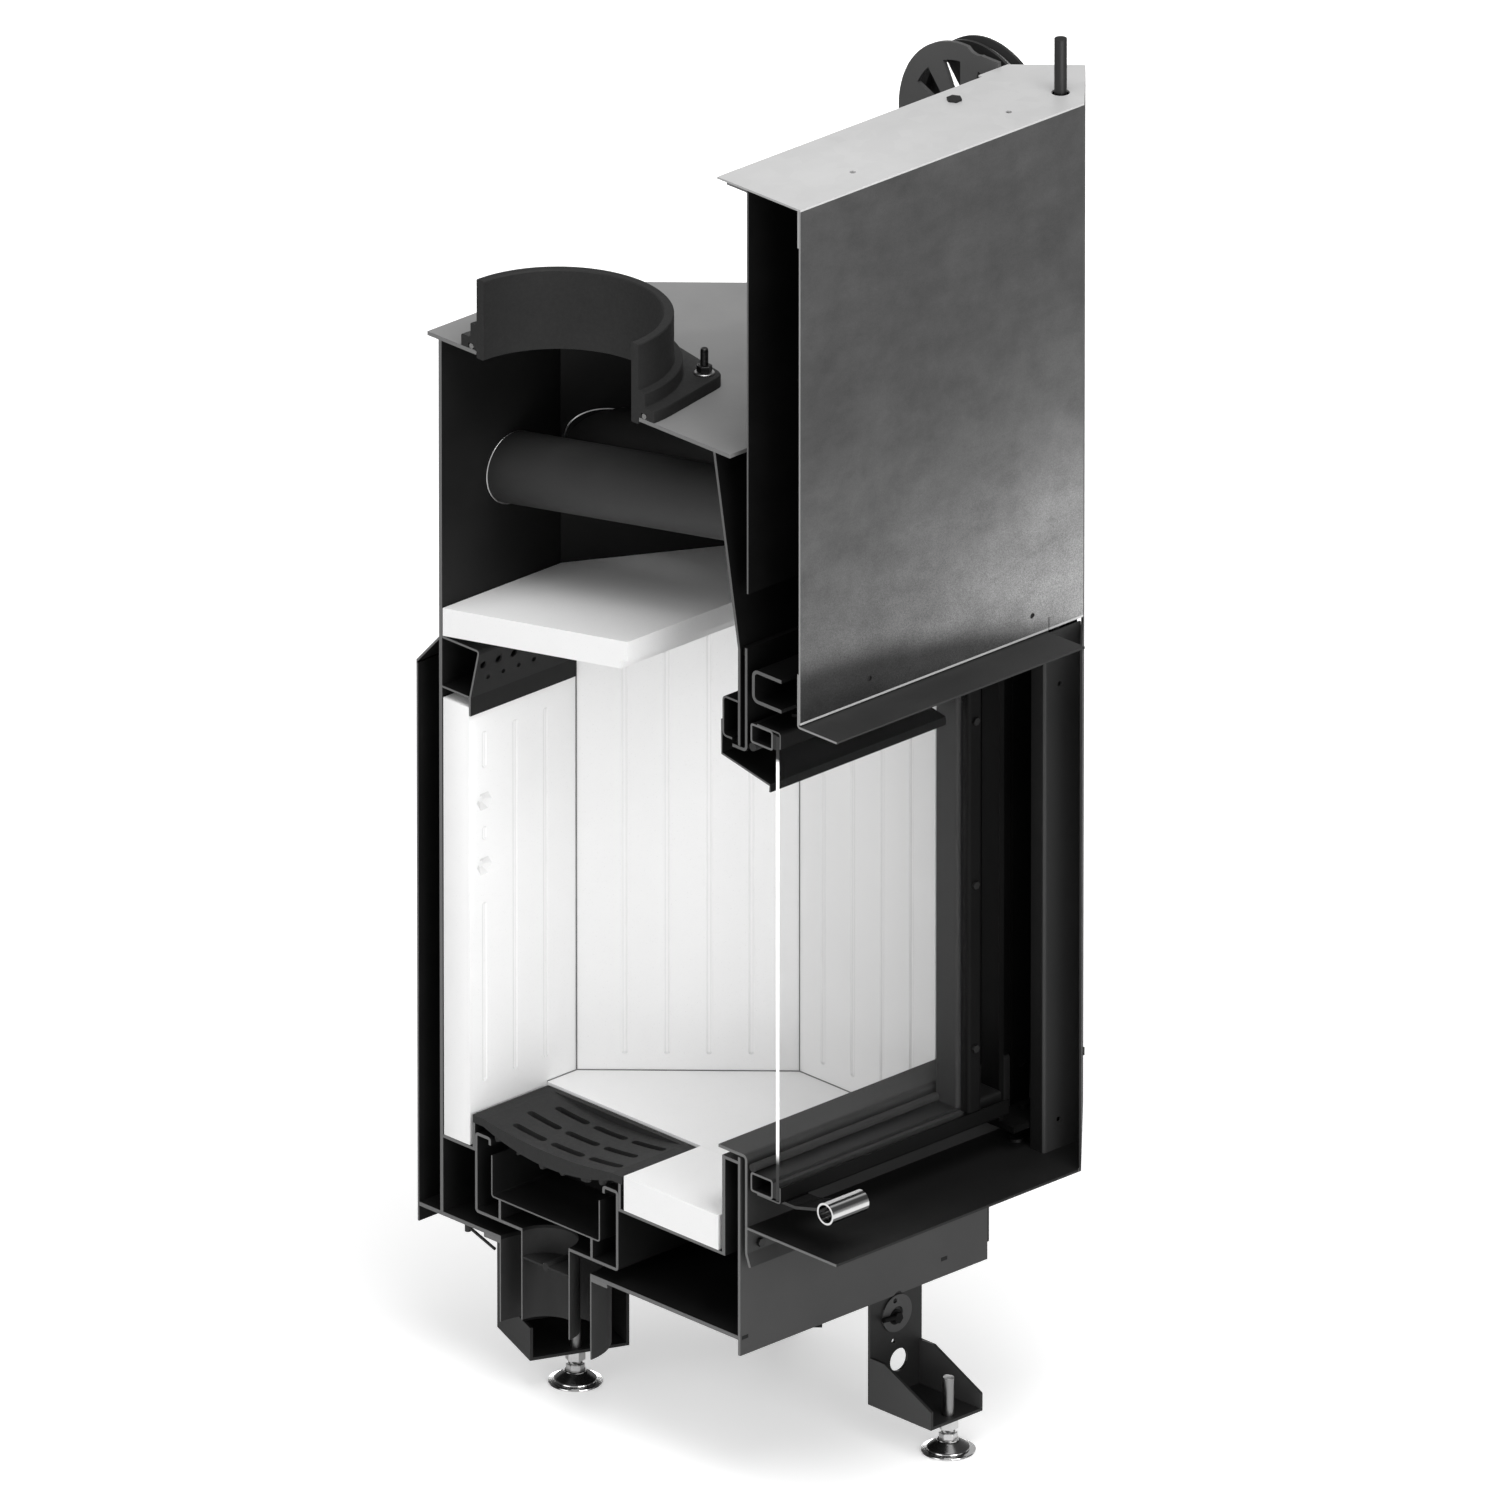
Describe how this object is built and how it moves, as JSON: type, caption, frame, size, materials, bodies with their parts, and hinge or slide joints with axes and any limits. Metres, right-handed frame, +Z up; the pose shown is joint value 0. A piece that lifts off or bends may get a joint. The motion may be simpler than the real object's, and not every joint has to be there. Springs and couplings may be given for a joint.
{
  "type": "fireplace insert",
  "caption": "Wood-burning fireplace insert cut open at its middle, with a glass door that lifts into a hood, a lined firebox, an ash box, an air inlet and a flue collar.",
  "frame": {"origin": "middle of the footprint, on the ground under the feet", "axes": "+X from the cut plane to the right side, +Y from the door to the rear, +Z up"},
  "size_m": [0.4356, 0.5696, 1.3925],
  "materials": {
    "black_sheet": "matt black paint on steel sheet",
    "satin_sheet": "satin black paint on steel sheet",
    "galvanised": "galvanised steel sheet with a faint spangle",
    "cast_iron": "rough cast iron, painted black",
    "black_steel": "blackened steel",
    "bright_steel": "bright steel",
    "cable_steel": "steel wire rope",
    "lining": "pale pressed insulating lining with a fine grain",
    "glass": "clear heat-proof glass",
    "rope": "woven glass-fibre rope"
  },
  "bodies": {
    "casing": {"rear_jacket": "black_sheet", "rear_wall": "black_sheet", "angled_wall": "black_sheet", "side_wall": "black_sheet", "top_plate": "satin_sheet", "floor_plate": "black_sheet", "front_apron": "satin_sheet", "sill_sheet": "satin_sheet", "side_frame_sheet": "black_sheet", "inner_front_wall": "black_sheet", "lintel_sheet": "satin_sheet", "lintel_box": "satin_sheet", "air_wash_deflector": "black_sheet", "flue_collar": "cast_iron", "collar_fasteners": "black_steel", "exchanger_tubes": "black_sheet", "secondary_air_duct": "black_sheet", "baffle_plate": "lining", "back_lining": "lining", "angled_lining": "lining", "side_lining": "lining", "hearth_lining": "lining", "front_lining": "lining", "lining_tray": "black_sheet", "ash_box": "black_sheet", "air_spigot": "satin_sheet", "primary_air_pipe": "satin_sheet", "damper_control_rod": "black_steel", "hood_front_panel": "galvanised", "hood_top_plate": "galvanised", "hood_rear_wall": "black_sheet", "hood_lip": "black_sheet", "corner_plate": "black_sheet", "side_cheek": "satin_sheet", "jamb_plate": "black_sheet", "guide_channel": "black_sheet", "door_shelf": "black_sheet", "guide_rod": "black_steel", "pulley_bracket": "satin_sheet", "pulley_axle": "bright_steel", "counterweight_channel": "black_sheet", "casing_screws": "black_steel", "foot_brackets": "black_sheet", "levelling_feet": "bright_steel", "lift_cable_front": "cable_steel", "lift_cable_rear": "cable_steel"},
    "door_carriage": {"lift_carriage": "satin_sheet", "guide_bushes": "bright_steel", "door_rails": "satin_sheet", "door_stile": "satin_sheet", "door_glass": "glass", "glass_strips": "black_sheet", "door_screws": "black_steel", "door_seal": "rope", "door_handle": "bright_steel"},
    "pulley": {"pulley_wheel": "cast_iron"},
    "weight": {"counterweight": "cast_iron"},
    "flap": {"damper_flap": "cast_iron"},
    "fire_grate": {"grate": "cast_iron"},
    "ash_tray": {"ash_pan": "black_sheet"}
  },
  "joints": [
    {"name": "door_lift", "type": "slide", "parent": "casing", "child": "door_carriage", "axis": [0, 0, 1], "range_m": [0, 0.39], "deforming": ["lift_cable_front"]},
    {"name": "pulley_turn", "type": "hinge", "parent": "casing", "child": "pulley", "pos_m": [0.1812, -0.0718, 1.2595], "axis": [1, 0, 0], "range_deg": [-291, 1]},
    {"name": "weight_drop", "type": "slide", "parent": "casing", "child": "weight", "axis": [0, 0, -1], "range_m": [0, 0.39], "deforming": ["lift_cable_rear"]},
    {"name": "damper_turn", "type": "hinge", "parent": "casing", "child": "flap", "pos_m": [-0.1678, 0.1102, 0.147], "axis": [1, 0, 0], "range_deg": [0, 85]},
    {"name": "grate_lift", "type": "slide", "parent": "casing", "child": "fire_grate", "axis": [0, 0, 1], "range_m": [0, 0.2]},
    {"name": "ash_pan_lift", "type": "slide", "parent": "casing", "child": "ash_tray", "axis": [0, 0, 1], "range_m": [0, 0.2]}
  ],
  "couplings": [
    {"joint": "pulley_turn", "follows": "door_lift", "rad_per_m": -12.979},
    {"joint": "weight_drop", "follows": "door_lift", "ratio": 1},
    {"joint": "ash_pan_lift", "follows": "grate_lift", "ratio": 1}
  ]
}
